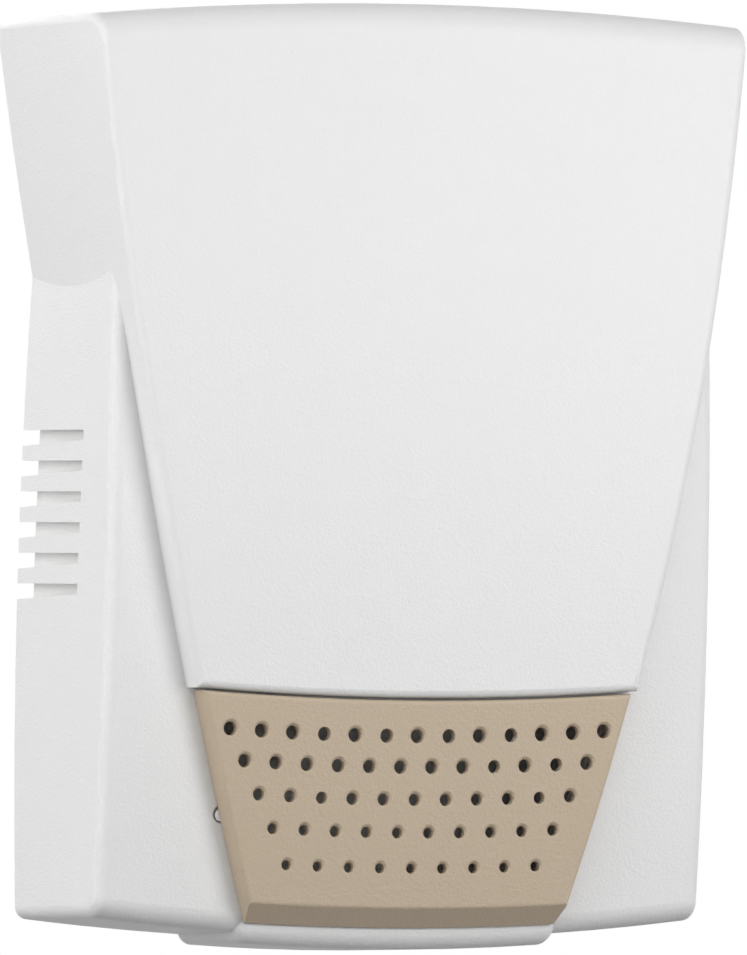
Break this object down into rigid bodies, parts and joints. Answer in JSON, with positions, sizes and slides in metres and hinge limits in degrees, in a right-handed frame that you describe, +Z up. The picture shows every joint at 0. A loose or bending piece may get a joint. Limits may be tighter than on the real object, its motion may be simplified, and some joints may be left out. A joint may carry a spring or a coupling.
{
  "type": "doorbell chime box",
  "caption": "Wall-mounted two-note door chime: a moulded white cover with a perforated beige grille and comb side slots over a base plate with tone bars and solenoid plungers.",
  "frame": {"origin": "middle of the wall face of the base plate, on the centre line, 95 mm above the lowest point of the cover and half way between the wall screws", "axes": "+Z up, +Y into the wall, +X to the right as seen from the room"},
  "size_m": [0.1488, 0.0442, 0.1888],
  "materials": {
    "cover_white": "fine moulded satin",
    "grille_beige": "fine moulded satin",
    "base_white": "plain moulded",
    "bar_steel": "rolled and plated",
    "frame_steel": "zinc plated",
    "screw_steel": "zinc plated",
    "core_steel": "turned",
    "spring_steel": "drawn wire",
    "black_rubber": "moulded",
    "bobbin_nylon": "moulded nylon",
    "coil_tape": "wound tape",
    "tip_nylon": "moulded nylon",
    "felt": "pressed felt",
    "block_brown": "moulded phenolic",
    "clamp_brass": "stamped",
    "lead_red": "extruded insulation"
  },
  "bodies": {
    "base": {"base_plate": "base_white", "tone_bar_low": "bar_steel", "tone_bar_high": "bar_steel", "tone_bar_grommets": "black_rubber", "tone_bar_screws": "screw_steel", "solenoid_frame": "frame_steel", "frame_screws": "screw_steel", "front_bobbin": "bobbin_nylon", "rear_bobbin": "bobbin_nylon", "front_coil": "coil_tape", "rear_coil": "coil_tape", "front_return_spring": "spring_steel", "rear_return_spring": "spring_steel", "rear_stop_washer": "felt", "terminal_block": "block_brown", "terminal_clamps": "clamp_brass", "terminal_screws": "screw_steel", "terminal_block_screws": "screw_steel", "coil_leads": "lead_red"},
    "cover": {"cover_shell": "cover_white", "grille": "grille_beige"},
    "front_plunger": {"front_plunger_core": "core_steel", "front_striker_tips": "tip_nylon", "front_spring_collar": "spring_steel"},
    "rear_plunger": {"rear_plunger_core": "core_steel", "rear_striker_tip": "tip_nylon", "rear_spring_collar": "spring_steel", "rear_stop_clip": "spring_steel"}
  },
  "joints": [
    {"name": "cover_pull", "type": "slide", "parent": "base", "child": "cover", "axis": [0, -1, 0], "range_m": [0, 0.06]},
    {"name": "front_plunger_slide", "type": "slide", "parent": "base", "child": "front_plunger", "axis": [1, 0, 0], "range_m": [-0.0014, 0.0069], "stiffness_N_per_m": 90, "deforming": ["front_return_spring"]},
    {"name": "rear_plunger_slide", "type": "slide", "parent": "base", "child": "rear_plunger", "axis": [1, 0, 0], "range_m": [0, 0.0069], "stiffness_N_per_m": 90, "springref_m": -0.002, "deforming": ["rear_return_spring"]}
  ]
}
